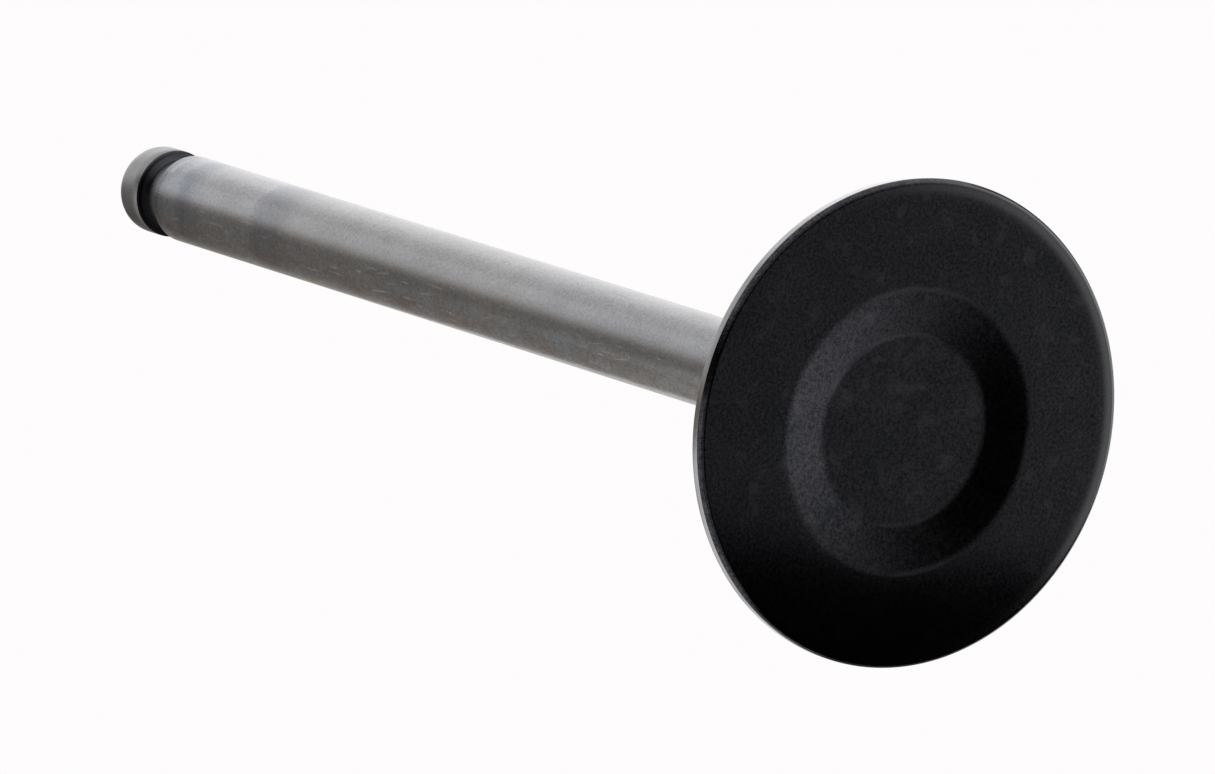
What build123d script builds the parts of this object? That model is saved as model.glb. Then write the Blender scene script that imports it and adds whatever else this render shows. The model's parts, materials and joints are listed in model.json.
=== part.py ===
from build123d import *
import os
from math import cos, isclose, radians, sin, tan

os.makedirs("parts", exist_ok=True)

# An engine intake valve, forged and turned as one piece of steel: a dished head with a
# ground 45 degree seat, a tulip neck, a ground stem, and a tip with a groove for the
# split keepers. It stands on its head. The origin is the centre of the combustion face
# and +Z runs up the stem to the tip. Lengths are in millimetres and angles in degrees.

# --- Driving dimensions --------------------------------------------------------------

HEAD_DIAMETER = 42.5
STEM_DIAMETER = 8.0
OVERALL_LENGTH = 128.0

# Combustion face: a shallow forged dish leaves a flat ring around it.
DISH_MOUTH_DIAMETER = 24.7
DISH_DEPTH = 0.7
DISH_WALL_ANGLE = 9.8  # measured up from the face
DISH_EDGE_RADIUS = 2.0  # softens the mouth and the floor of the dish
DISH_OFFSET = 0.65  # the dish lies this far off the axis, because only the rim is turned

# Rim: the margin is the plain band between the face and the seat.
RIM_EDGE_RADIUS = 0.5
MARGIN_HEIGHT = 1.2
SEAT_ANGLE = 45.0  # measured up from the face
SEAT_WIDTH = 2.2  # measured along the cone

# Back of the head: a cone that runs into the stem through one large radius.
BACK_ANGLE = 20.0  # measured up from the face
BACK_EDGE_RADIUS = 0.5  # where the back cone leaves the seat
NECK_RADIUS = 15.0

# Keeper groove and the tip above it.
TIP_HEIGHT = 4.7  # from the groove to the end of the stem
TIP_CORNER_RADIUS = 2.4
GROOVE_WIDTH = 2.9
GROOVE_DEPTH = 0.85
GROOVE_ROOT_RADIUS = 0.6
GROOVE_EDGE_BREAK = 0.1

# --- Sizes that follow ---------------------------------------------------------------

head_radius = HEAD_DIAMETER / 2
stem_radius = STEM_DIAMETER / 2

dish_mouth_radius = DISH_MOUTH_DIAMETER / 2
dish_floor_radius = dish_mouth_radius - DISH_DEPTH / tan(radians(DISH_WALL_ANGLE))

# The neck turns from the back cone's slope to upright, which fixes how far out it starts.
neck_foot_radius = stem_radius + NECK_RADIUS * (1 - sin(radians(BACK_ANGLE)))
seat_inner_radius = head_radius - SEAT_WIDTH * cos(radians(SEAT_ANGLE))
back_length = (seat_inner_radius - neck_foot_radius) / cos(radians(BACK_ANGLE))

groove_top = OVERALL_LENGTH - TIP_HEIGHT
groove_bottom = groove_top - GROOVE_WIDTH
groove_floor_radius = stem_radius - GROOVE_DEPTH

# --- The valve -----------------------------------------------------------------------

with BuildPart() as valve:
    # The turned blank is half of its section, drawn from the face round to the tip.
    with BuildSketch(Plane.XZ) as blank:
        with BuildLine():
            face = Line((0, 0), (head_radius, 0))
            margin = Line(face @ 1, (head_radius, MARGIN_HEIGHT))
            seat = PolarLine(margin @ 1, SEAT_WIDTH, 180 - SEAT_ANGLE)
            back = PolarLine(seat @ 1, back_length, 180 - BACK_ANGLE)
            neck = JernArc(back @ 1, back % 1, NECK_RADIUS, BACK_ANGLE - 90)
            stem = Line(neck @ 1, (stem_radius, OVERALL_LENGTH))
            end = Line(stem @ 1, (0, OVERALL_LENGTH))
            Line(end @ 1, face @ 0)
        make_face()
        turned_corners = (
            (face @ 1, RIM_EDGE_RADIUS),
            (seat @ 1, BACK_EDGE_RADIUS),
            (stem @ 1, TIP_CORNER_RADIUS),
        )
        for corner, radius in turned_corners:
            fillet(blank.vertices().sort_by_distance(corner)[0], radius)
    revolve(axis=Axis.Z)

    # The dish is a cone frustum about its own axis, with its floor and mouth rounded.
    dish_plane = Plane((-DISH_OFFSET, 0, 0), x_dir=(1, 0, 0), z_dir=(0, -1, 0))
    with BuildSketch(dish_plane) as dish:
        with BuildLine():
            dish_wall = Line((dish_mouth_radius, 0), (dish_floor_radius, DISH_DEPTH))
            Polyline(dish_wall @ 1, (0, DISH_DEPTH), (0, 0), dish_wall @ 0)
        make_face()
        fillet(dish.vertices().sort_by_distance(dish_wall @ 1)[0], DISH_EDGE_RADIUS)
    revolve(axis=Axis(dish_plane.origin, (0, 0, 1)), mode=Mode.SUBTRACT)
    dish_mouth = valve.faces().sort_by(Axis.Z)[0].inner_wires()[0]
    fillet(dish_mouth.edges(), DISH_EDGE_RADIUS)

    # The keeper groove is a ring cut whose floor meets both walls in root radii.
    with BuildSketch(Plane.XZ) as groove:
        with Locations((groove_floor_radius, groove_bottom)):
            Rectangle(STEM_DIAMETER, GROOVE_WIDTH, align=(Align.MIN, Align.MIN))
        root_corners = groove.vertices().group_by(Axis.X)[0]
        fillet(root_corners, GROOVE_ROOT_RADIUS)
    revolve(axis=Axis.Z, mode=Mode.SUBTRACT)

    # Its two mouth edges are broken, so that they don't cut the keepers.
    stem_circles = valve.edges().filter_by(GeomType.CIRCLE).filter_by(
        lambda edge: isclose(edge.radius, stem_radius, abs_tol=1e-4)
    )
    groove_mouth = stem_circles.filter_by_position(Axis.Z, groove_bottom, groove_top)
    chamfer(groove_mouth, GROOVE_EDGE_BREAK)

valve.part.label = "valve"
export_step(valve.part, "parts/valve.step")

neck_top = (neck @ 1).Y
print(f"valve: {valve.part.volume / 1000:.2f} cm3, neck ends {neck_top:.2f} mm up the stem")
print(f"keeper groove from {groove_bottom:.2f} to {groove_top:.2f} mm")
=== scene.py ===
# %% [markdown]
# # An engine intake valve
#
# The valve is one piece of steel. Its blank is forged, then the stem, the seat and the tip
# are turned and ground, and the rest keeps the dark skin of its heat treatment. So the
# lesson makes one mesh, and the work is in two places: a section with every radius that a
# lathe or a die leaves, and a finish of its own for each zone.
#
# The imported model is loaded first. It is the fixed frame that everything else follows.

# %% Load the frame
import json
import math

import bmesh
import bpy
from mathutils import Matrix, Vector

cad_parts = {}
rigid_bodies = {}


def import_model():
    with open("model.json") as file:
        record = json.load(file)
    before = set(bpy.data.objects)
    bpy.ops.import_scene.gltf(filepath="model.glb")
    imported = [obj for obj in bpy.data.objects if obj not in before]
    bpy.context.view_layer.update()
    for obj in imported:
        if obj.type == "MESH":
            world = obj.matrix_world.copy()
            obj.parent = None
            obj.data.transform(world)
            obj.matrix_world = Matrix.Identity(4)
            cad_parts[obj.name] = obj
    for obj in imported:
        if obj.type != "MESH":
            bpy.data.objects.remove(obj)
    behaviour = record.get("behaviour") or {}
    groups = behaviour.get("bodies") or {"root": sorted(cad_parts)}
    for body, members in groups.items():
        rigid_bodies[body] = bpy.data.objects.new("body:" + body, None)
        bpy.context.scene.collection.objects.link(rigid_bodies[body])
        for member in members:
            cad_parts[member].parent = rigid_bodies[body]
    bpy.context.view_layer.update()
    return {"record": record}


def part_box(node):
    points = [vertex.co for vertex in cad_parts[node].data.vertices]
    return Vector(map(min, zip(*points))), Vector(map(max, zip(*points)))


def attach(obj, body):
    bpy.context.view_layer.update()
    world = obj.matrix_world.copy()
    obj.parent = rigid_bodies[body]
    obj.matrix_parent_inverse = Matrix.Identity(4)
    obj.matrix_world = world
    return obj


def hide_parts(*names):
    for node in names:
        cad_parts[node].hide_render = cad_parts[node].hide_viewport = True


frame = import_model()

MM = 0.001
mounts = {mount["name"]: mount for mount in frame["record"]["mounts"]}
low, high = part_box("valve")
HEAD_RADIUS = (high.x - low.x) / 2 / MM
LENGTH = (high.z - low.z) / MM
STEM_RADIUS = mounts["stem"]["dims"]["r_mm"]
print(f"head radius {HEAD_RADIUS:.2f} mm, stem radius {STEM_RADIUS:.2f} mm")
print(f"length {LENGTH:.2f} mm")

# %% [markdown]
# ## The camera
#
# The valve stands on its head, and the view shows the underside of that head with the
# stem running away behind it. So the camera looks up from below the floor. A long lens
# from 1.4 m away keeps the far tip from shrinking much.
#
# A camera could be aimed with a constraint. Here its three directions are worked out
# instead, because the view is also rolled: the stem leans to the upper left.

# %% Camera
CAMERA_ELEVATION = math.radians(-56.1)
CAMERA_ROLL = math.radians(72.30)  # clockwise, as seen through the camera
CAMERA_DISTANCE = 1400.0
HEAD_RIGHT_OF_CENTRE = 25.84
HEAD_BELOW_CENTRE = 3.20
SENSOR_WIDTH = 36.0
LENS = 485.54
NEAREST = 0.05  # metres, as Blender's own settings are
FURTHEST = 20.0

towards_camera = Vector((0, -math.cos(CAMERA_ELEVATION), math.sin(CAMERA_ELEVATION)))
level_right = Vector((1, 0, 0))
level_up = towards_camera.cross(level_right)
image_up = level_up * math.cos(CAMERA_ROLL) + level_right * math.sin(CAMERA_ROLL)
image_right = level_right * math.cos(CAMERA_ROLL) - level_up * math.sin(CAMERA_ROLL)
camera_place = (
    towards_camera * CAMERA_DISTANCE
    - image_right * HEAD_RIGHT_OF_CENTRE
    + image_up * HEAD_BELOW_CENTRE
) * MM

camera = bpy.data.objects.new("camera", bpy.data.cameras.new("camera"))
bpy.context.scene.collection.objects.link(camera)
turn = Matrix((image_right, image_up, towards_camera)).transposed().to_4x4()
camera.matrix_world = Matrix.Translation(camera_place) @ turn
camera.data.sensor_fit = "HORIZONTAL"
camera.data.sensor_width = SENSOR_WIDTH
camera.data.lens = LENS
camera.data.clip_start = NEAREST
camera.data.clip_end = FURTHEST
bpy.context.scene.camera = camera
print("camera at", [round(value, 4) for value in camera_place])

# %% [markdown]
# ## The section
#
# A turned part is its section spun round an axis. The section is written as corners, each
# with the radius that rounds it, and each straight run carries the name of its finish. That
# is how a drawing of a valve is dimensioned, so the numbers can be checked one by one.
#
# Two details go beyond the plain section. The dish in the face was struck by a die, a
# little off the axis that the rim was turned on, so each corner has a centre of its own,
# and the die left its edges soft. And no edge of a real valve is knife sharp, so the
# margin's corner gets a tiny radius, which is what catches the light as a thin line.

# %% Corners of the section
DISH_DEPTH = 0.7
DISH_MOUTH_RADIUS = 12.35
DISH_WALL_ANGLE = math.radians(9.8)
DISH_OFFSET = 0.65
DISH_EDGE_RADIUS = 4.0
RIM_EDGE_RADIUS = 0.5
MARGIN_HEIGHT = 1.2
MARGIN_EDGE_RADIUS = 0.08
SEAT_WIDTH = 2.2
SEAT_ANGLE = math.radians(45)
BACK_ANGLE = math.radians(20)
BACK_EDGE_RADIUS = 0.5
NECK_RADIUS = 15.0
GROUND_FROM = 26.0  # the stem is ground from this height up
GROOVE_TOP = LENGTH - 4.7
GROOVE_BOTTOM = GROOVE_TOP - 2.9
GROOVE_DEPTH = 0.85
GROOVE_ROOT_RADIUS = 0.6
GROOVE_EDGE_BREAK = 0.1
TIP_CORNER_RADIUS = 2.4

dish_floor_radius = DISH_MOUTH_RADIUS - DISH_DEPTH / math.tan(DISH_WALL_ANGLE)
seat_inner_radius = HEAD_RADIUS - SEAT_WIDTH * math.cos(SEAT_ANGLE)
seat_top = MARGIN_HEIGHT + SEAT_WIDTH * math.sin(SEAT_ANGLE)
neck_corner_height = seat_top + (seat_inner_radius - STEM_RADIUS) * math.tan(BACK_ANGLE)
groove_radius = STEM_RADIUS - GROOVE_DEPTH
broken_radius = STEM_RADIUS - GROOVE_EDGE_BREAK

# Each corner: radius, height, rounding, how far its centre lies off the axis, and the
# finish of the run that leads to it.
CORNERS = (
    (0.0, DISH_DEPTH, 0.0, DISH_OFFSET, "face"),
    (dish_floor_radius, DISH_DEPTH, DISH_EDGE_RADIUS, DISH_OFFSET, "face"),
    (DISH_MOUTH_RADIUS, 0.0, DISH_EDGE_RADIUS, DISH_OFFSET, "face"),
    (HEAD_RADIUS, 0.0, RIM_EDGE_RADIUS, 0.0, "face"),
    (HEAD_RADIUS, MARGIN_HEIGHT, MARGIN_EDGE_RADIUS, 0.0, "margin"),
    (seat_inner_radius, seat_top, BACK_EDGE_RADIUS, 0.0, "seat"),
    (STEM_RADIUS, neck_corner_height, NECK_RADIUS, 0.0, "neck"),
    (STEM_RADIUS, GROUND_FROM, 0.0, 0.0, "neck"),
    (STEM_RADIUS, GROOVE_BOTTOM - GROOVE_EDGE_BREAK, 0.0, 0.0, "stem"),
    (broken_radius, GROOVE_BOTTOM, 0.0, 0.0, "groove"),
    (groove_radius, GROOVE_BOTTOM, GROOVE_ROOT_RADIUS, 0.0, "groove"),
    (groove_radius, GROOVE_TOP, GROOVE_ROOT_RADIUS, 0.0, "groove"),
    (broken_radius, GROOVE_TOP, 0.0, 0.0, "groove"),
    (STEM_RADIUS, GROOVE_TOP + GROOVE_EDGE_BREAK, 0.0, 0.0, "groove"),
    (STEM_RADIUS, LENGTH, TIP_CORNER_RADIUS, 0.0, "tip"),
    (0.0, LENGTH, 0.0, 0.0, "tip"),
)
print(len(CORNERS), "corners in the section")
print(f"unrounded, the neck would meet the stem {neck_corner_height:.2f} mm up")

# %% [markdown]
# A corner between two runs is rounded by an arc that touches both. The arc starts where
# its tangent point lies on the first run, and the corner's half angle gives that distance.
# The arc takes the finish of the run before it, so the face's dark skin goes over the rim.
# Long runs are then cut into short ones, so that the faces of the mesh stay well shaped.

# %% Round the corners
LONGEST_RUN = 1.6
ARC_STEP = math.radians(7)


def rounded(before, corner, after, radius):
    """The points of an arc that rounds a corner between two straight runs."""
    if radius == 0:
        return [corner]
    inward = (before - corner).normalized()
    onward = (after - corner).normalized()
    half_angle = inward.angle(onward) / 2
    middle = corner + (inward + onward).normalized() * (radius / math.sin(half_angle))
    start = corner + inward * (radius / math.tan(half_angle)) - middle
    end = corner + onward * (radius / math.tan(half_angle)) - middle
    sweep = start.angle(end)
    steps = max(3, math.ceil(sweep / ARC_STEP))
    points = []
    for step in range(steps + 1):
        share = step / steps
        spoke = start * math.sin((1 - share) * sweep) + end * math.sin(share * sweep)
        points.append(middle + spoke / math.sin(sweep))
    return points


def section_rings():
    """Every ring of the valve: its radius, height, centre's offset and finish."""
    places = [Vector((radius, height)) for radius, height, *_ in CORNERS]
    rings = [(*places[0], *CORNERS[0][3:])]
    for index in range(1, len(CORNERS)):
        rounding, offset, finish = CORNERS[index][2:]
        after = min(index + 1, len(CORNERS) - 1)
        arc = rounded(places[index - 1], places[index], places[after], rounding)
        last = Vector(rings[-1][:2])
        last_offset = rings[-1][2]
        pieces = math.ceil((arc[0] - last).length / LONGEST_RUN)
        for piece in range(1, pieces):
            share = piece / pieces
            between = last_offset + (offset - last_offset) * share
            rings.append((*last.lerp(arc[0], share), between, finish))
        rings.extend((*point, offset, finish) for point in arc)
    return rings


rings = section_rings()
print(len(rings), "rings from the dish to the tip")

# %% [markdown]
# ## Spin the section
#
# Blender's Screw modifier could spin the section, but it turns every point about one axis,
# and the dish has its own. So the rings are laid down in mesh code and joined band by band.
# Each band takes the finish of its own run. The whole mesh is shaded smooth, since every
# edge is rounded or broken by narrow bands that carry the fold. The Weighted Normal
# modifier keeps the wide bands beside them a little flatter.

# %% The valve's mesh
SEGMENTS = 256
FINISHES = ("face", "margin", "seat", "neck", "stem", "groove", "tip")


def spun(rings):
    """A closed mesh from the rings, with outward faces and one finish for each band."""
    mesh = bmesh.new()
    circles = []
    for radius, height, offset, _ in rings:
        count = SEGMENTS if radius > 0 else 1
        turns = [math.tau * step / SEGMENTS for step in range(count)]
        circles.append([
            mesh.verts.new(Vector((
                radius * math.cos(turn) - offset,
                radius * math.sin(turn),
                height,
            )) * MM)
            for turn in turns
        ])
    for index in range(1, len(circles)):
        inner = circles[index - 1]
        outer = circles[index]
        for step in range(SEGMENTS):
            after = (step + 1) % SEGMENTS
            corners = [
                inner[step % len(inner)],
                inner[after % len(inner)],
                outer[after % len(outer)],
                outer[step % len(outer)],
            ]
            band = mesh.faces.new(dict.fromkeys(corners))
            band.smooth = True
            band.material_index = FINISHES.index(rings[index][3])
    return mesh


spinning = spun(rings)
valve_mesh = bpy.data.meshes.new("valve_body")
spinning.to_mesh(valve_mesh)
spinning.free()
valve_body = bpy.data.objects.new("valve_body", valve_mesh)
bpy.context.scene.collection.objects.link(valve_body)
valve_body.modifiers.new("wide bands first", "WEIGHTED_NORMAL")
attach(valve_body, "root")
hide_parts("valve")
triangles = sum(len(face.vertices) - 2 for face in valve_mesh.polygons)
print(f"valve_body: {len(valve_mesh.vertices)} points, {triangles} triangles")

# %% [markdown]
# ## Shader maths as expressions
#
# A finish is a small network of nodes. Written node by node it is long and hard to read,
# so a value in the network is wrapped in a class that knows arithmetic: `1 - mask` adds
# the Math node and returns the new value.

# %% Values
class Value:
    """A number or a colour that varies over the surface."""

    def __init__(self, network, socket):
        self.network = network
        self.socket = socket

    def __add__(self, other):
        return self.network.math("ADD", self, other)

    def __sub__(self, other):
        return self.network.math("SUBTRACT", self, other)

    def __rsub__(self, other):
        return self.network.math("SUBTRACT", other, self)

    def __mul__(self, other):
        return self.network.math("MULTIPLY", self, other)

    def __truediv__(self, other):
        return self.network.math("DIVIDE", self, other)

    __radd__ = __add__
    __rmul__ = __mul__


print("a Value turns +, -, * and / into Math nodes")

# %% [markdown]
# ## Every other node
#
# Every other node comes from one method, which takes the node's type, its settings and the
# values or links of its sockets. The settings come first, because some of them change
# which sockets a node has. The same class serves a material and the world.

# %% Network
class Network:
    """The nodes of a material or of the world."""

    def __init__(self, tree):
        self.tree = tree

    def give(self, socket, value):
        """Links a Value to a socket, or sets a number, a colour or a vector on it."""
        if isinstance(value, Value):
            self.tree.links.new(value.socket, socket)
        else:
            socket.default_value = value

    def node(self, kind, settings, inputs, output=0):
        """Any node: its type, its settings, and the values or links of its sockets."""
        made = self.tree.nodes.new("ShaderNode" + kind)
        for name, setting in settings.items():
            if name != "stops":
                setattr(made, name, setting)
                continue
            stops = made.color_ramp.elements
            for stop, (place, color) in zip(stops, (setting[0], setting[-1])):
                stop.position = place
                stop.color = color
            for place, color in setting[1:-1]:
                stops.new(place).color = color
        for name, value in inputs.items():
            self.give(made.inputs[name], value)
        return Value(self, made.outputs[output])

    def math(self, operation, *numbers):
        return self.node("Math", {"operation": operation}, dict(enumerate(numbers)))

    def between(self, value, start, end):
        """0 where value is at start, 1 at end, with a soft S between them."""
        settings = {"interpolation_type": "SMOOTHSTEP"}
        inputs = {"Value": value, "From Min": start, "From Max": end}
        return self.node("MapRange", settings, inputs)

    def blend(self, share, first, second):
        """The first colour where share is 0, and the second where it is 1."""
        inputs = {0: share, 6: first, 7: second}  # 6 and 7 are its two colour sockets
        return self.node("Mix", {"data_type": "RGBA"}, inputs, output=2)

    def ramp(self, place, stops):
        """A colour that changes with place, which runs from 0 to 1."""
        return self.node("ValToRGB", {"stops": stops}, {0: place})

    def scaled(self, color, factor):
        """A colour made darker or lighter by a factor."""
        vector = color if isinstance(color, Value) else color[:3]
        return self.node("VectorMath", {"operation": "SCALE"}, {0: vector, "Scale": factor})


def greys(levels):
    """A ramp's stops from pairs of a place and a grey."""
    return [(place, (grey, grey, grey, 1)) for place, grey in levels]


print("a ramp from black to white:", greys([(0, 0), (1, 1)]))

# %% [markdown]
# ## What a finish knows
#
# A finish is a material that ends in the Principled shader. Its patterns are laid out in
# millimetres on the valve itself, so a grain keeps its size everywhere and stays put when
# the valve is seen from another side. A painted image could hold the same patterns, but it
# would have to be unwrapped from a part that is round nearly everywhere.
#
# A scratch is noise drawn out along a line, with only its peaks kept.

# %% Finish
UP = (0, 0, 1)
SCRATCH_STRETCH = 32.0
SCRATCH_EDGE = 0.08


class Finish(Network):
    """A material, from patterns that are worked out at each point."""

    def __init__(self, name):
        self.material = bpy.data.materials.new(name)
        self.material.use_nodes = True
        super().__init__(self.material.node_tree)
        self.shader = self.tree.nodes["Principled BSDF"]

    def place(self, scale=(1, 1, 1)):
        """Where the point is on the valve, in millimetres, stretched by scale."""
        here = self.node("TexCoord", {}, {}, output="Object")
        stretch = tuple(factor / MM for factor in scale)
        return self.node("VectorMath", {"operation": "MULTIPLY"}, {0: here, 1: stretch})

    def along(self, direction):
        """How far the point lies along a direction, in millimetres."""
        inputs = {0: self.place(), 1: direction}
        return self.node("VectorMath", {"operation": "DOT_PRODUCT"}, inputs, output="Value")

    def radius(self, offset=0.0):
        """How far out the point is from the axis, or from an axis offset towards -X."""
        inputs = {0: self.place((1, 1, 0)), 1: (offset, 0, 0)}
        outward = self.node("VectorMath", {"operation": "ADD"}, inputs)
        return self.node("VectorMath", {"operation": "LENGTH"}, {0: outward}, output="Value")

    def facing(self, direction):
        """1 on the side of the valve towards a level direction, and -1 on the far side."""
        return self.along(direction) / self.radius()

    def grain(self, scale, stretch=(1, 1, 1), detail=2.0):
        """Noise from 0 to 1. Scale is the grains in a millimetre, detail the finer layers."""
        inputs = {"Vector": self.place(stretch), "Scale": scale, "Detail": detail}
        return self.node("TexNoise", {}, inputs)

    def scratches(self, direction, scale, start):
        """Hairlines along a direction, from the peaks of the noise above start."""
        unit = Vector(direction).normalized()
        along = self.along(unit) * (1 - 1 / SCRATCH_STRETCH)
        slide = self.node("VectorMath", {"operation": "SCALE"}, {0: unit, "Scale": along})
        inputs = {0: self.place(), 1: slide}
        across = self.node("VectorMath", {"operation": "SUBTRACT"}, inputs)
        inputs = {"Vector": across, "Scale": scale, "Detail": 0.0}
        return self.between(self.node("TexNoise", {}, inputs), start, start + SCRATCH_EDGE)

    def end(self, color, roughness, height, **fixed):
        """Feeds the shader. Height is in millimetres, and fixed sockets hold one value."""
        bump = self.node("Bump", {}, {"Height": height, "Distance": MM})
        self.give(self.shader.inputs["Base Color"], color)
        self.give(self.shader.inputs["Roughness"], roughness)
        self.give(self.shader.inputs["Normal"], bump)
        for name, value in fixed.items():
            self.shader.inputs[name.replace("_", " ")].default_value = value
        print(f"{self.material.name}: {len(self.tree.nodes)} nodes")
        return self.material

    def end_plainly(self, surface):
        """Ends in a plain shader instead, for what isn't part of the valve."""
        self.give(self.tree.nodes["Material Output"].inputs["Surface"], surface)
        self.tree.nodes.remove(self.shader)
        return self.material


print("a scratch is drawn out", SCRATCH_STRETCH, "times")

# %% [markdown]
# ## The dark skin of the head
#
# The face and the dish keep the thin oxide skin of the heat treatment. It is nearly black
# with a breath of blue, and it has a very fine grain with broad, faint clouds. Blackened
# steel has no colour of its own underneath, so it is a metal with a dark colour: all its
# light is reflection, which is why the dish shows only by how it catches the light.
#
# Colour, roughness and bump could each have a grain of their own. Here they share one, as
# they do on the real skin, where the same tiny pits do all three.

# %% Dark skin
SKIN_DARK = (0.020, 0.022, 0.028, 1)
SKIN_LIGHT = (0.070, 0.070, 0.077, 1)
SKIN_GRAIN = 3.2  # grains in a millimetre, and the same for the next two
SKIN_GRIT = 7.0
SKIN_CLOUDS = 0.16
GRAIN_SHARE = 0.6  # how much each pattern counts in the mottling
GRIT_SHARE = 0.45
CLOUD_SHARE = 0.15
SKIN_LEVELS = (0.42, 0.78)


def skin_color(skin, fine):
    """The mottled oxide colour that the face and the back of the head share."""
    grit = skin.grain(SKIN_GRIT, detail=1.0)
    cloud = skin.grain(SKIN_CLOUDS)
    mottle = fine * GRAIN_SHARE + grit * GRIT_SHARE + cloud * CLOUD_SHARE
    return skin.blend(skin.between(mottle, *SKIN_LEVELS), SKIN_DARK, SKIN_LIGHT)


print("skin:", SKIN_GRAIN, "grains in a millimetre")

# %% [markdown]
# The skin is rubbed thin in small patches. Round one side of the rim it is painted paler, as
# a painted sheen, and on that side the rim's very edge has a painted highlight in the colour
# of bare steel. Broken paler lines round the two edges of the dish are partly wear and partly
# painted highlights.

# %% Face
# The colour of skin rubbed thin, also used for the painted sheen and the painted edge
# highlights.
SKIN_WORN_AND_SHEEN = (0.150, 0.147, 0.156, 1)
STEEL = (0.281, 0.287, 0.295, 1)
SKIN_ROUGHNESS = 0.13
SKIN_GRAIN_ROUGHNESS = 0.12  # what the grain adds where it is strongest
SKIN_BUMP = 0.004
PATCHES = 0.5
PATCH_LEVELS = (0.55, 0.75)
PATCH_SHARE = 0.25  # how far the wear goes towards its own colour, here and below
# The painted sheen near the rim and the painted highlight on its edge lie on this side.
SHEEN_TOWARDS = (0.5, 0.87, 0)
SHEEN_SIDE = (-0.2, 0.8)
SHEEN_FROM = 19.0
SHEEN_SHARE = 0.6
RIM_HIGHLIGHT_AT = HEAD_RADIUS - 0.7
RIM_HIGHLIGHT_WIDTH = 0.8
RIM_HIGHLIGHT_SIDE = (-0.3, 1.0)
RIM_HIGHLIGHT_SHARE = 0.6
# Lines round the dish's two edges: partly wear and partly painted highlights.
MOUTH_LINE = 0.4
MOUTH_SHARE = 0.25
FLOOR_LINE = 0.35
FLOOR_SHARE = 0.3
LINE_BREAKS = 0.12
LINE_LEVELS = (0.47, 0.62)


def faded_ring(skin, offset, radius, width):
    """A line round the axis, or round one offset towards -X, that fades over its width."""
    away = skin.math("ABSOLUTE", skin.radius(offset) - radius)
    return 1 - skin.between(away, 0, width)


def dark_face(name):
    skin = Finish(name)
    fine = skin.grain(SKIN_GRAIN, detail=4.0)
    # A painted sheen lightens the skin near the rim on one side.
    side = skin.facing(SHEEN_TOWARDS)
    outer = skin.between(skin.radius(), SHEEN_FROM, HEAD_RADIUS)
    painted_sheen = outer * skin.between(side, *SHEEN_SIDE) * SHEEN_SHARE
    patches = skin.between(skin.grain(PATCHES, detail=3.0), *PATCH_LEVELS) * PATCH_SHARE
    # The lines round the dish's edges are partly wear and partly painted highlights, broken
    # by noise.
    breaks = skin.between(skin.grain(LINE_BREAKS, detail=1.0), *LINE_LEVELS)
    mouth_wear_and_highlight = faded_ring(skin, DISH_OFFSET, DISH_MOUTH_RADIUS, MOUTH_LINE) * MOUTH_SHARE
    floor_edge_wear_and_highlight = faded_ring(skin, DISH_OFFSET, dish_floor_radius, FLOOR_LINE) * FLOOR_SHARE
    # Real wear patches, the painted sheen and the partly painted edge lines all pale the
    # skin.
    worn_and_sheen = painted_sheen + patches + (mouth_wear_and_highlight + floor_edge_wear_and_highlight) * breaks
    color = skin.blend(worn_and_sheen, skin_color(skin, fine), SKIN_WORN_AND_SHEEN)
    # A painted highlight on the rim's edge, on the same side, gives it the colour of bare
    # steel.
    rim = faded_ring(skin, 0.0, RIM_HIGHLIGHT_AT, RIM_HIGHLIGHT_WIDTH) * RIM_HIGHLIGHT_SHARE
    color = skin.blend(rim * skin.between(side, *RIM_HIGHLIGHT_SIDE), color, STEEL)
    roughness = SKIN_ROUGHNESS + fine * SKIN_GRAIN_ROUGHNESS
    return skin.end(color, roughness, fine * SKIN_BUMP, Metallic=1.0)


# The painted sheen on one side of the rim starts this far out.
print("the skin is rubbed thin from", SHEEN_FROM, "mm out")

# %% [markdown]
# The back of the head and the neck wear the same skin, but hot gas has burnt on them, so
# they are duller and a little browner. Up the neck the skin thins out: it runs through the
# straw and blue of heated steel into the bare metal, about where the grinding starts.

# %% Neck
BURNT = (0.040, 0.034, 0.030, 1)
NECK_COLORS = (
    (0.0, (0.034, 0.034, 0.038, 1)),
    (0.35, (0.060, 0.062, 0.080, 1)),
    (0.60, (0.135, 0.115, 0.095, 1)),
    (1.0, STEEL),
)
BARE_HEIGHTS = (18.5, GROUND_FROM + 0.5)
BARE_CLOUDS = 0.35
BARE_WAVE = 2.4
BARE_COLORS_AT = 0.25  # how bare the neck is where the skin has gone over to its colours
BARE_SMOOTHER = 0.22  # how much less rough the bare end is
BARE_FLATTER = 0.7
BURNT_CLOUDS = 0.25
BURNT_LEVELS = (0.42, 0.68)
BURNT_SHARE = 0.6
NECK_ROUGHNESS = 0.46
NECK_GRAIN_ROUGHNESS = 0.1
NECK_BUMP = 0.006


def burnt_neck(name):
    neck = Finish(name)
    fine = neck.grain(SKIN_GRAIN, detail=4.0)
    burnt = neck.between(neck.grain(BURNT_CLOUDS, detail=4.0), *BURNT_LEVELS) * BURNT_SHARE
    skin = neck.blend(burnt, skin_color(neck, fine), BURNT)
    height = neck.along(UP) + neck.grain(BARE_CLOUDS, detail=3.0) * BARE_WAVE
    bare = neck.between(height, *BARE_HEIGHTS)
    thinned = neck.between(bare, 0, BARE_COLORS_AT)
    color = neck.blend(thinned, skin, neck.ramp(bare, NECK_COLORS))
    roughness = NECK_ROUGHNESS - bare * BARE_SMOOTHER + fine * NECK_GRAIN_ROUGHNESS
    bumps = fine * NECK_BUMP * (1 - bare * BARE_FLATTER)
    return neck.end(color, roughness, bumps, Metallic=1.0)


print("the neck's skin thins out between", *BARE_HEIGHTS, "mm")

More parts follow.
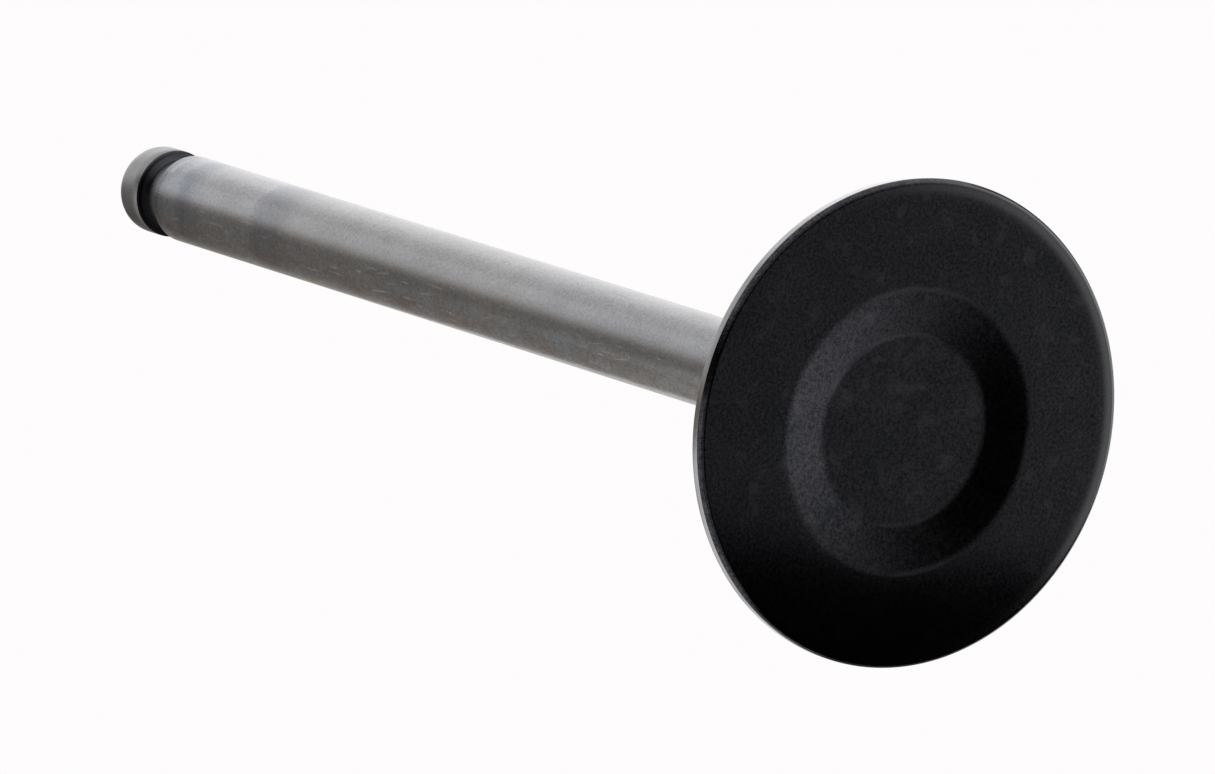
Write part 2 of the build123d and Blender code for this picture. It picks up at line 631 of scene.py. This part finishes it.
# %% [markdown]
# ## Ground steel
#
# The stem is ground between two wheels, which leaves fine lines round it and a satin
# shine that is drawn out along it. The lines are noise squeezed along the height, and the
# drawn-out shine is the shader's anisotropy, turned a quarter so that it runs up the stem.
#
# Heat left faint blue-grey bands near the tip. They are a ramp of colours up the height,
# which is made uneven with noise, so that no band ends in a level line.

# %% Heat colours
HEAT_COLORS = (
    (0.000, STEEL),
    (0.440, STEEL),
    (0.480, (0.300, 0.299, 0.299, 1)),
    (0.560, (0.268, 0.270, 0.275, 1)),
    (0.660, (0.286, 0.287, 0.291, 1)),
    (0.755, (0.282, 0.284, 0.289, 1)),
    (0.775, (0.235, 0.241, 0.252, 1)),
    (0.802, (0.230, 0.238, 0.256, 1)),
    (0.813, (0.306, 0.309, 0.316, 1)),
    (0.868, (0.298, 0.303, 0.314, 1)),
    (0.888, (0.270, 0.276, 0.288, 1)),
    (0.898, (0.216, 0.226, 0.250, 1)),
    (0.908, (0.214, 0.228, 0.260, 1)),
    (0.915, (0.294, 0.304, 0.332, 1)),
    (0.925, (0.272, 0.282, 0.308, 1)),
    (0.937, (0.205, 0.214, 0.240, 1)),
)
HEAT_CLOUDS = 0.4
HEAT_WAVE = 1.6


def wavy_height(steel):
    """The height up the stem, made a little uneven."""
    return steel.along(UP) + (steel.grain(HEAT_CLOUDS, detail=3.0) - 0.5) * HEAT_WAVE


print(len(HEAT_COLORS), "heat colours up the stem")

# %% [markdown]
# The side of the stem away from the key light is painted brown in patches, partly as an oil
# stain and partly as painted shade, the warm dark reflection of that side. Next to the tip
# that side is painted darker still, which is painted shade too.
#
# The stain and the painted shade are layers of colour, one blended over the other. That keeps
# each of them easy to change.

# %% Stains and painted shade on one side
# The side away from the key light: brown patches there are partly stain and partly painted
# shade.
AWAY_FROM_KEY_LIGHT = (-1, 0, 0)
SHADED_SIDE_SPAN = (0.5, 3.8)  # millimetres out from the axis, on the oiled side
STAIN_AND_WARM_SHADE = (0.225, 0.168, 0.125, 1)
STAIN_PATCHES = 0.5
STAIN_STRETCH = (1, 1, 0.5)
STAIN_LEVELS = (0.38, 0.68)
STAIN_SHARE = 0.55
# Painted shade: the side away from the key light is painted darker near the tip, and so is
# the tip.
PAINTED_SHADE_DARK = (0.120, 0.105, 0.095, 1)
SHADE_NEAR_TIP_SIDE = (2.6, 3.9)
SHADE_NEAR_TIP_HEIGHTS = (98, 116)
SHADE_NEAR_TIP_SHARE = 0.6


def shaded_side(steel):
    """0 at the middle of the stem, and 1 on the side away from the key light, where shade is
    painted.
    """
    return steel.between(steel.along(AWAY_FROM_KEY_LIGHT), *SHADED_SIDE_SPAN)


def stained_and_shaded(steel, color, height):
    """The colour with a stain and painted shade on the side of the stem away from the key
    light.
    """
    noise = steel.grain(STAIN_PATCHES, stretch=STAIN_STRETCH, detail=5.0)
    # Brown patches on the shaded side, partly stain and partly painted shade.
    stain_and_shade = shaded_side(steel) * steel.between(noise, *STAIN_LEVELS) * STAIN_SHARE
    # Painted shade darkens the shaded side near the tip.
    near_tip = steel.between(height, *SHADE_NEAR_TIP_HEIGHTS)
    shade_near_tip = steel.between(steel.along(AWAY_FROM_KEY_LIGHT), *SHADE_NEAR_TIP_SIDE) * near_tip * SHADE_NEAR_TIP_SHARE
    return steel.blend(shade_near_tip, steel.blend(stain_and_shade, color, STAIN_AND_WARM_SHADE), PAINTED_SHADE_DARK)


# Painted shade darkens the shaded side between these heights.
print("oil has baked on between", *SHADE_NEAR_TIP_HEIGHTS, "mm up")

# %% [markdown]
# Handling has left hairline scratches that run nearly along the stem. A scratch scatters
# light, so it is rougher as well as paler, and shows best on the dark side. The steel also
# has a grain of its own and fine specks, which show most on the side away from the key light.
# A slow bump keeps the reflections from being ruler straight.

# %% Stem
GRINDING = (0.35, 0.35, 14.0)  # squeezes the noise into lines round the stem
STEEL_GRAIN = 4.5
GRAIN_LEVELS = (0.36, 0.64)
STEEL_CLOUDS = 0.22
STEEL_SPECKS = 2.8
SPECK_LEVELS = (0.40, 0.60)
DARKEST_TONE = 0.59  # what the patterns below make lighter
GRAIN_TONE = 0.22
CLOUD_TONE = 0.36
LINE_TONE = 0.24
SPECK_TONE = 0.05
SHADED_SIDE_SPECK_TONE = 0.25
STEEL_ROUGHNESS = 0.23
GRINDING_ROUGHNESS = 0.05
GRINDING_BUMP = 0.0010
SLOW_WAVES = 0.6
SLOW_STRETCH = (1, 1, 0.4)
SLOW_BUMP = 0.03
SCRATCH = (0.42, 0.41, 0.40, 1)
SCRATCH_SHARE = 0.6
SCRATCH_ROUGHNESS = 0.18
ANISOTROPY = 0.4
QUARTER_TURN = 0.25
# Each kind of scratch: its direction, how fine it is, and the level its noise must reach,
# which makes it rare.
SCRATCHES = (
    ((0.04, 0.03, 1.0), 6.5, 0.74),
    ((-0.10, 0.08, 1.0), 6.0, 0.77),
    ((0.22, -0.15, 1.0), 6.2, 0.79),
)


def ground_stem(name):
    steel = Finish(name)
    lines = steel.grain(1.0, stretch=GRINDING, detail=3.0)
    fine = steel.grain(STEEL_GRAIN, detail=3.0)
    cloud = steel.grain(STEEL_CLOUDS, detail=3.0)
    specks = steel.between(steel.grain(STEEL_SPECKS, detail=4.0), *SPECK_LEVELS) - 0.5
    scratched = sum(steel.scratches(*kind) for kind in SCRATCHES)
    height = wavy_height(steel)
    # A stain and painted shade on the side away from the key light.
    color = stained_and_shaded(steel, steel.ramp(height / LENGTH, HEAT_COLORS), height)
    color = steel.blend(scratched * SCRATCH_SHARE, color, SCRATCH)
    tone = DARKEST_TONE + steel.between(fine, *GRAIN_LEVELS) * GRAIN_TONE
    tone += cloud * CLOUD_TONE + lines * LINE_TONE
    tone += specks * (SPECK_TONE + shaded_side(steel) * SHADED_SIDE_SPECK_TONE)
    ground = lines + fine
    roughness = STEEL_ROUGHNESS + ground * GRINDING_ROUGHNESS + scratched * SCRATCH_ROUGHNESS
    slow = steel.grain(SLOW_WAVES, stretch=SLOW_STRETCH) * SLOW_BUMP
    return steel.end(
        steel.scaled(color, tone),
        roughness,
        ground * GRINDING_BUMP + slow,
        Metallic=1.0,
        Anisotropic=ANISOTROPY,
        Anisotropic_Rotation=QUARTER_TURN,
    )


print(len(SCRATCHES), "kinds of scratch")

# %% [markdown]
# The margin and the seat are turned and ground as well, but round a wide ring, so their shine
# isn't drawn out. A short stretch of the margin, on the side that faces -Y, is darker in
# colour.

# %% Margin
TURNED = (0.43, 0.43, 0.435, 1)
TURNING = (0.3, 0.3, 12.0)  # squeezes the noise into lines round the head
TURNED_GRAIN = 4.0
MARGIN_DARKEST = 0.70
MARGIN_TONE = 0.3  # what the lines and the grain each add
MARGIN_ROUGHNESS = 0.18
MARGIN_GRAIN_ROUGHNESS = 0.08
MARGIN_LINE_BUMP = 0.0015
MARGIN_GRAIN_BUMP = 0.001
# A stretch of the margin that faces -Y is made darker in colour.
DARKER_TOWARDS = (0.1, -0.995, 0)
DARKER_SIDE = (0.90, 0.97)
DARKER_SHARE = 0.4


def turned_margin(name):
    steel = Finish(name)
    lines = steel.grain(1.0, stretch=TURNING, detail=2.0)
    fine = steel.grain(TURNED_GRAIN, detail=3.0)
    darkened = steel.between(steel.facing(DARKER_TOWARDS), *DARKER_SIDE) * DARKER_SHARE
    tone = (MARGIN_DARKEST + (lines + fine) * MARGIN_TONE) * (1 - darkened)
    bumps = lines * MARGIN_LINE_BUMP + fine * MARGIN_GRAIN_BUMP
    roughness = MARGIN_ROUGHNESS + fine * MARGIN_GRAIN_ROUGHNESS
    return steel.end(steel.scaled(TURNED, tone), roughness, bumps, Metallic=1.0)


print("the margin is", MARGIN_HEIGHT, "mm high")

# %% [markdown]
# The seat beats on its ring in the engine's head at every turn of the engine. That leaves
# a dull, pale band in the middle of the cone, with darker metal on both sides.

# %% Seat
BEATEN = (0.36, 0.36, 0.355, 1)
SEAT_EDGE = (0.12, 0.12, 0.125, 1)
BEATEN_MIDDLE = (MARGIN_HEIGHT + seat_top) / 2
BEATEN_FADE = (0.36, 0.46)  # above and below its middle, and a little uneven
BEATEN_WAVE = 0.1
SEAT_DARKEST = 0.75
SEAT_TONE = 0.25
SEAT_ROUGHNESS = 0.26
SEAT_GRAIN_ROUGHNESS = 0.08
BEATEN_ROUGHNESS = 0.12  # what the beating adds
SEAT_BUMP = 0.002


def beaten_seat(name):
    steel = Finish(name)
    lines = steel.grain(1.0, stretch=TURNING, detail=2.0)
    fine = steel.grain(TURNED_GRAIN, detail=3.0)
    wave = (fine - 0.5) * BEATEN_WAVE
    away = steel.math("ABSOLUTE", steel.along(UP) - BEATEN_MIDDLE + wave)
    beaten = 1 - steel.between(away, *BEATEN_FADE)
    color = steel.blend(beaten, SEAT_EDGE, BEATEN)
    color = steel.scaled(color, SEAT_DARKEST + (lines + fine) * SEAT_TONE)
    roughness = SEAT_ROUGHNESS + beaten * BEATEN_ROUGHNESS + fine * SEAT_GRAIN_ROUGHNESS
    return steel.end(color, roughness, (lines + fine) * SEAT_BUMP, Metallic=1.0)


print(f"the beaten band's middle is {BEATEN_MIDDLE:.2f} mm up")

# %% [markdown]
# The keeper groove is turned, not ground, so it is dull. Painted shade blackens its wall
# under the tip and the groove from there down, less so on the side towards the key light.

# %% Groove
TURNED_DULL = (0.190, 0.196, 0.215, 1)
# Painted shade in the groove: near black, and lighter on the side towards the key light.
GROOVE_SHADE = (0.010, 0.010, 0.011, 1)
GROOVE_SHADE_HEIGHTS = (GROOVE_BOTTOM + 1.6, GROOVE_BOTTOM + 2.9)
GROOVE_SHADE_WAVE = 0.6
LIT_SIDE_TOWARDS = (1, 0, 0)
LIT_SIDE_SPAN = (0.0, 3.0)
LIT_SIDE_SHARE = 0.45
GROOVE_DARKEST = 0.7
GROOVE_TONE = 0.6
GROOVE_ROUGHNESS = 0.36
GROOVE_GRAIN_ROUGHNESS = 0.1
GROOVE_BUMP = 0.003


def shaded_groove(name):
    steel = Finish(name)
    fine = steel.grain(TURNED_GRAIN, detail=3.0)
    # Painted shade: the groove's part under the tip is near black, less so on the lit side.
    painted_shade = steel.between(steel.along(UP) + fine * GROOVE_SHADE_WAVE, *GROOVE_SHADE_HEIGHTS)
    lit_side = steel.between(steel.along(LIT_SIDE_TOWARDS), *LIT_SIDE_SPAN) * LIT_SIDE_SHARE
    color = steel.blend(painted_shade * (1 - lit_side), TURNED_DULL, GROOVE_SHADE)
    color = steel.scaled(color, GROOVE_DARKEST + fine * GROOVE_TONE)
    roughness = GROOVE_ROUGHNESS + fine * GROOVE_GRAIN_ROUGHNESS
    return steel.end(color, roughness, fine * GROOVE_BUMP, Metallic=1.0)


print(f"the groove runs from {GROOVE_BOTTOM:.2f} to {GROOVE_TOP:.2f} mm")

# %% [markdown]
# The tip was hardened, and the rocker has hammered it ever since. Its steel is the stem's,
# but matt, and its shine doesn't run any way. Its side away from the key light is painted
# dark, as painted shade, like the stem's.

# %% Tip
TIP_STEEL = (0.285, 0.288, 0.294, 1)
TIP_CLOUDS = 0.6
# Painted shade on the tip's side away from the key light.
TIP_SHADED_SIDE = (1.0, 3.6)
TIP_SHADE_SHARE = 0.85
TIP_DARKEST = 0.62
TIP_GRAIN_TONE = 0.4
TIP_CLOUD_TONE = 0.34
TIP_ROUGHNESS = 0.36
TIP_GRAIN_ROUGHNESS = 0.1
TIP_BUMP = 0.004


def hammered_tip(name):
    steel = Finish(name)
    fine = steel.grain(STEEL_GRAIN, detail=4.0)
    cloud = steel.grain(TIP_CLOUDS, detail=3.0)
    # Painted shade darkens the tip on the side away from the key light.
    shaded = steel.between(steel.along(AWAY_FROM_KEY_LIGHT), *TIP_SHADED_SIDE) * TIP_SHADE_SHARE
    color = steel.blend(shaded, TIP_STEEL, PAINTED_SHADE_DARK)
    tone = TIP_DARKEST + fine * TIP_GRAIN_TONE + cloud * TIP_CLOUD_TONE
    roughness = TIP_ROUGHNESS + fine * TIP_GRAIN_ROUGHNESS
    return steel.end(steel.scaled(color, tone), roughness, fine * TIP_BUMP, Metallic=1.0)


print(f"the tip is {LENGTH - GROOVE_TOP:.2f} mm high")

# %% [markdown]
# Each band of the mesh already carries the number of its finish, so the materials only
# have to be added in the same order.

# %% Put the finishes on
FINISH_MAKERS = {
    "face": dark_face,
    "margin": turned_margin,
    "seat": beaten_seat,
    "neck": burnt_neck,
    "stem": ground_stem,
    "groove": shaded_groove,
    "tip": hammered_tip,
}
for finish in FINISHES:
    valve_mesh.materials.append(FINISH_MAKERS[finish](finish))

# %% [markdown]
# ## The floor
#
# The floor is plain and pale, and touches the valve's face. It shows from above only, so
# a camera below it sees the valve against the white room. Light from below also has to
# reach the face: the floor has a hole a little wider than the head, closed by a plug that
# nothing but the camera sees. Far from the valve the floor fades into the white backdrop,
# so no horizon shows.

# %% The floor's material
BACKDROP = (0.991, 0.973, 0.982, 1)
FLOOR_COLOR = (0.88, 0.87, 0.875, 1)
FADE_FROM = 0.12  # metres from the valve
FADE_TO = 0.8


def pale_floor(name):
    look = Finish(name)
    camera_ray = look.node("LightPath", {}, {}, output="Is Camera Ray")
    behind = look.node("NewGeometry", {}, {}, output="Backfacing")
    here = look.node("TexCoord", {}, {}, output="Object")
    distance = look.node("VectorMath", {"operation": "LENGTH"}, {0: here}, output="Value")
    far = look.between(distance, FADE_FROM, FADE_TO)
    plain = look.node("BsdfDiffuse", {}, {"Color": FLOOR_COLOR}, output="BSDF")
    white = look.node("Emission", {}, {"Color": BACKDROP, "Strength": 1.0})
    faded = look.node("MixShader", {}, {0: far * camera_ray, 1: plain, 2: white})
    clear = look.node("BsdfTransparent", {}, {})
    seen = look.node("MixShader", {}, {0: behind * camera_ray, 1: faded, 2: clear})
    return look.end_plainly(seen)


print("the floor fades between", FADE_FROM, "and", FADE_TO, "m")

# %% [markdown]
# The ring of the floor is four-sided faces between two circles. The plug is one flat face
# inside the smaller circle.

# %% Floor
FLOOR_GAP = 0.05
HOLE_RADIUS = HEAD_RADIUS + 8.0
FLOOR_RADIUS = 4000.0


def staged(name, points, faces, material):
    """A flat piece of the stage, from points in millimetres."""
    data = bpy.data.meshes.new(name)
    data.from_pydata([Vector(point) * MM for point in points], [], faces)
    data.materials.append(material)
    made = bpy.data.objects.new(name, data)
    bpy.context.scene.collection.objects.link(made)
    return made


def circle(radius, height, segments):
    """The points of a level circle round the axis."""
    turns = [math.tau * step / segments for step in range(segments)]
    return [(radius * math.cos(turn), radius * math.sin(turn), height) for turn in turns]


pale = pale_floor("pale floor")
hole = circle(HOLE_RADIUS, -FLOOR_GAP, SEGMENTS)
rim = circle(FLOOR_RADIUS, -FLOOR_GAP, SEGMENTS)
bands = []
for step in range(SEGMENTS):
    after = (step + 1) % SEGMENTS
    bands.append((step, SEGMENTS + step, SEGMENTS + after, after))
staged("floor", hole + rim, bands, pale)
plug = staged("floor_plug", hole, [range(SEGMENTS)], pale)
plug.visible_diffuse = False
plug.visible_glossy = False
plug.visible_transmission = False
plug.visible_shadow = False
print("floor:", FLOOR_RADIUS / 1000, "m in radius")

# %% [markdown]
# ## Light
#
# Steel shows its surroundings, so it is lit by what stands round it: a white room, which
# is the world. It is white for the camera and in reflections, and at a plain level for
# everything else, so that the floor keeps its own colour.

# %% World
AMBIENT = 0.7

world = bpy.data.worlds.new("white room")
bpy.context.scene.world = world
world.use_nodes = True
room = Network(world.node_tree)
white_rays = room.node("LightPath", {}, {}, output="Is Camera Ray")
for ray in ("Is Glossy Ray", "Is Transmission Ray"):
    white_rays = room.math("MAXIMUM", white_rays, room.node("LightPath", {}, {}, output=ray))
background = world.node_tree.nodes["Background"].inputs
room.give(background["Color"], BACKDROP)
room.give(background["Strength"], AMBIENT + white_rays * (1 - AMBIENT))
print("world: white, with an ambient level of", AMBIENT)

# %% [markdown]
# Bright metal in a white room looks like paper. What gives it form is soft boxes for the
# bright side and dark cards for the dark one, as in any studio.
#
# The boxes are area lamps, a metre away and above the floor: a big one behind the valve,
# and two small ones in front of it. A lamp's power spreads over its area, so the power is
# worked out from how bright its surface should look.

# %% Soft boxes
AIM = Vector((0, 0, 70)) * MM
BOX_DISTANCE = 1000
POWER_OF_WHITE = 4  # watts from a square metre that looks as bright as white
# Each box: its direction from the valve, its width and length, and how bright it is, where
# 1 would be as bright as white.
SOFT_BOXES = {
    "key": ((0.463, 0.312, 0.83), 800, 800, 0.5),
    "front": ((0.227, -0.51, 0.83), 380, 500, 0.15),
    "strip": ((0.085, -0.55, 0.83), 50, 500, 0.15),
}

for name, (direction, width, length, brightness) in SOFT_BOXES.items():
    lamp = bpy.data.lights.new(name, "AREA")
    lamp.shape = "RECTANGLE"
    lamp.size = width * MM
    lamp.size_y = length * MM
    lamp.energy = POWER_OF_WHITE * brightness * lamp.size * lamp.size_y
    box = bpy.data.objects.new(name, lamp)
    box.location = AIM + Vector(direction).normalized() * BOX_DISTANCE * MM
    box.rotation_euler = (box.location - AIM).to_track_quat("Z", "Y").to_euler()
    box.visible_camera = False
    bpy.context.scene.collection.objects.link(box)
    print(f"{name}: {lamp.energy:.2f} W")

# %% [markdown]
# A card shows only in reflections, and throws no shadow on the floor. It glows with a grey
# of its own, so its level doesn't depend on the lamps. One even grey mirrored in a round
# bar looks flat, so the grey may change over the card, and a function works it out.

# %% Cards
def card(name, corners, color, grey):
    """A card from its corners in millimetres, its tint, and the function for its grey."""
    look = Finish(name)
    glow = look.node("Emission", {}, {"Color": color, "Strength": grey(look)})
    made = staged(name, corners, [range(len(corners))], look.end_plainly(glow))
    made.visible_camera = False
    made.visible_diffuse = False
    made.visible_shadow = False
    print(f"{name}: {len(corners)} corners, {len(look.tree.nodes)} nodes")


def level(outline, height):
    """The corners of a level card, from an outline seen from above."""
    return [(x, y, height) for x, y in outline]


print("cards show in reflections only")

# %% [markdown]
# One card hangs above the dark side of the stem. A stem shows each direction round it once,
# so the card's grey changes with the turn round the stem: pale where it starts, near the
# camera, then dark, then pale again. That is the soft step that runs along the stem.

# %% Side card
WARM_GREY = (1.0, 0.93, 0.86, 1)
SIDE_HEIGHT = 250
SIDE_OUTLINE = (
    (-2, -30),
    (-18, -300),
    (-112, -300),
    (-130, -96),
    (-165, -70),
    (-165, 98),
    (-2, 98),
)
SIDE_GREYS = (
    (0.02, 0.90),
    (0.07, 0.50),
    (0.12, 0.30),
    (0.25, 0.24),
    (0.50, 0.21),
    (0.65, 0.23),
    (0.72, 0.36),
    (0.83, 0.56),
    (0.95, 0.80),
)


def darker_round_the_stem(look):
    turn = look.math("ARCTAN2", look.along((-1, 0, 0)), look.along((0, -1, 0)))
    return look.ramp(turn / math.pi, greys(SIDE_GREYS))


card("side_card", level(SIDE_OUTLINE, SIDE_HEIGHT), WARM_GREY, darker_round_the_stem)

# %% [markdown]
# The face looks straight down, at a round card below it. That one is darkest towards the
# camera and paler away from it, so that each slope of the dish picks a grey of its own.
# Near the camera only a strip down its middle is black, with grey on both sides: the black
# darkens the near part of the rim, and the grey keeps the rest of it alive.

# %% Card below
NEUTRAL = (1.0, 1.0, 1.0, 1)
UNDER_HEIGHT = -500
UNDER_RADIUS = 650
UNDER_CORNERS = 24
UNDER_GREYS = (
    (0.29, 0.0),
    (0.46, 0.19),
    (0.52, 0.30),
    (0.70, 0.46),
    (0.92, 1.0),
)
GREYS_LAG = 0.3  # how far the greys fall back for each millimetre sideways
SIDES_GREY = 0.42
SIDES_FADE = 60
STRIP_HALF_WIDTH = 60
STRIP_WIDENS = (20, 130)
STRIP_WIDENS_BY = 130


def paler_from_the_camera(look):
    sideways = look.math("ABSOLUTE", look.along((1, 0, 0)))
    onward = look.along((0, 1, 0))
    grey = look.ramp((onward - sideways * GREYS_LAG) / UNDER_RADIUS, greys(UNDER_GREYS))
    strip = STRIP_HALF_WIDTH + look.between(onward, *STRIP_WIDENS) * STRIP_WIDENS_BY
    sides = look.between(sideways - strip, 0, SIDES_FADE) * SIDES_GREY
    return look.math("MAXIMUM", grey, sides)


below = circle(UNDER_RADIUS, UNDER_HEIGHT, UNDER_CORNERS)
card("under_card", below, NEUTRAL, paler_from_the_camera)

# %% [markdown]
# A tall black card stands in front of the rim's near edge, and another lies below one end
# of the face and shades it.
#
# Two narrow flags stand behind the valve. They show mostly when it is looked at from its
# sides and its back, where they give the stem the dark streaks of a round bar.

# %% Black cards and flags
SHADE_HEIGHT = -40
SHADE_OUTLINE = ((-16, 0), (-400, 0), (-400, 300), (35, 300))
FLAG_GREY = 0.15
FLAG_TURNS = {"flag_0": math.radians(45), "flag_1": math.radians(135)}


def black(look):
    return 0.0


def flag_grey(look):
    return FLAG_GREY


def upright(turn, distance, half_width, bottom, top):
    """The corners of an upright card, which faces the stem from a turn round it."""
    middle = Vector((math.cos(turn), math.sin(turn))) * distance
    side = Vector((-math.sin(turn), math.cos(turn))) * half_width
    start = middle - side
    end = middle + side
    return [(*start, bottom), (*end, bottom), (*end, top), (*start, top)]


towards_front = math.radians(-90)
in_front = upright(towards_front, distance=600, half_width=160, bottom=-900, top=700)
card("camera_card", in_front, NEUTRAL, black)
card("shade_card", level(SHADE_OUTLINE, SHADE_HEIGHT), NEUTRAL, black)
for name, turn in FLAG_TURNS.items():
    corners = upright(turn, distance=175, half_width=50, bottom=0, top=185)
    card(name, corners, NEUTRAL, flag_grey)

# %% [markdown]
# ## Last settings
#
# The view transform stays plain, so a colour comes out as it is written.

# %% Last settings
bpy.context.scene.view_settings.view_transform = "Standard"
bpy.context.view_layer.update()
